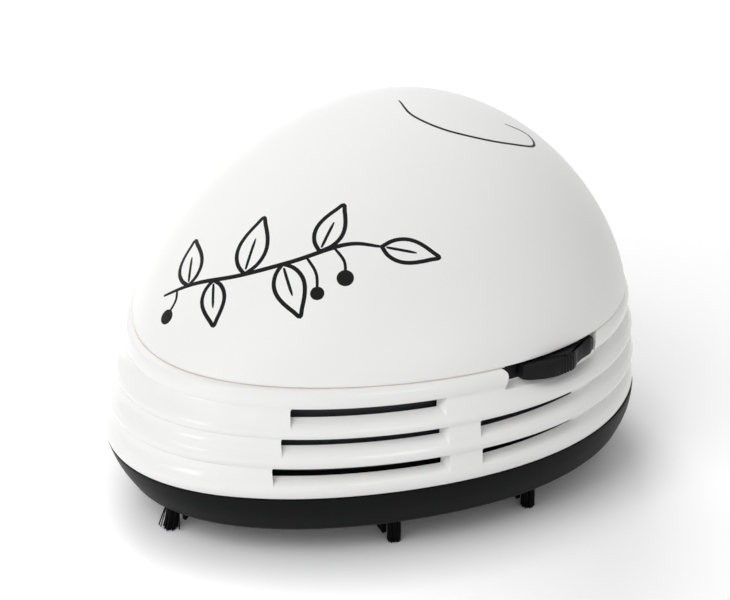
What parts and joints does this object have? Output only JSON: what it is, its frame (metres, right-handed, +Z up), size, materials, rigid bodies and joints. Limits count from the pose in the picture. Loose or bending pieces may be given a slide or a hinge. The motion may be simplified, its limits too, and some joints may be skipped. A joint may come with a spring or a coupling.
{
  "type": "desktop mini vacuum cleaner",
  "caption": "Egg-shaped cordless desk vacuum cleaner: domed cover, ribbed vented housing with a slide switch, dust tray on bristle tufts, and the fan and motor inside.",
  "frame": {"origin": "on the table under the middle of the body's length and width", "axes": "+Z up, the low nose points to -Y, the switch is on the +X side"},
  "size_m": [0.1004, 0.1152, 0.0736],
  "materials": {
    "white_abs": "glossy moulded ABS",
    "black_abs": "satin moulded ABS",
    "knob_black": "satin moulded ABS",
    "brush_nylon": "nylon bristle",
    "grey_plastic": "moulded polypropylene",
    "filter_net": "woven nylon net",
    "motor_steel": "zinc-plated drawn steel",
    "steel": "zinc-plated steel",
    "nickel": "nickel-plated spring strip",
    "brass": "turned brass",
    "cell_sleeve": "plain printed cell sleeve",
    "red_wire": "soft PVC lead insulation",
    "black_wire": "soft PVC lead insulation"
  },
  "bodies": {
    "tray": {"base_tray": "black_abs", "brush_front": "brush_nylon", "brush_right": "brush_nylon", "brush_left": "brush_nylon", "brush_rear": "brush_nylon", "inlet_collar": "black_abs"},
    "housing": {"rib_housing": "white_abs", "filter_frame": "grey_plastic", "filter_net": "filter_net", "fan_plate": "black_abs", "motor_can": "motor_steel", "motor_end_cap": "black_abs", "motor_bush": "brass", "motor_terminal_positive": "nickel", "motor_terminal_negative": "nickel", "motor_plate": "black_abs", "motor_screw_1": "steel", "motor_screw_2": "steel", "battery_deck": "black_abs", "cell_right": "cell_sleeve", "cell_left": "cell_sleeve", "contact_bridge": "nickel", "contact_positive": "nickel", "contact_negative": "nickel", "deck_screw_1": "steel", "deck_screw_2": "steel", "deck_screw_3": "steel", "fan_plate_screw_1": "steel", "fan_plate_screw_2": "steel", "fan_plate_screw_3": "steel", "switch_body": "black_abs", "lead_cell_to_switch": "red_wire", "lead_switch_to_motor": "red_wire", "lead_cell_to_motor": "black_wire"},
    "fan": {"impeller": "grey_plastic", "motor_shaft": "steel"},
    "knob": {"switch_knob": "knob_black"},
    "dome": {"dome_cover": "white_abs"}
  },
  "joints": [
    {"name": "housing_lift", "type": "slide", "parent": "tray", "child": "housing", "axis": [0, 0, 1], "range_m": [0, 0.035]},
    {"name": "dome_lift", "type": "slide", "parent": "housing", "child": "dome", "axis": [0, 0, 1], "range_m": [0, 0.05]},
    {"name": "impeller_spin", "type": "hinge", "parent": "housing", "child": "fan", "pos_m": [0, 0.004, 0.03], "axis": [0, 0, 1], "continuous": true},
    {"name": "switch_slide", "type": "slide", "parent": "housing", "child": "knob", "axis": [0, -1, 0], "range_m": [0, 0.0024]}
  ]
}
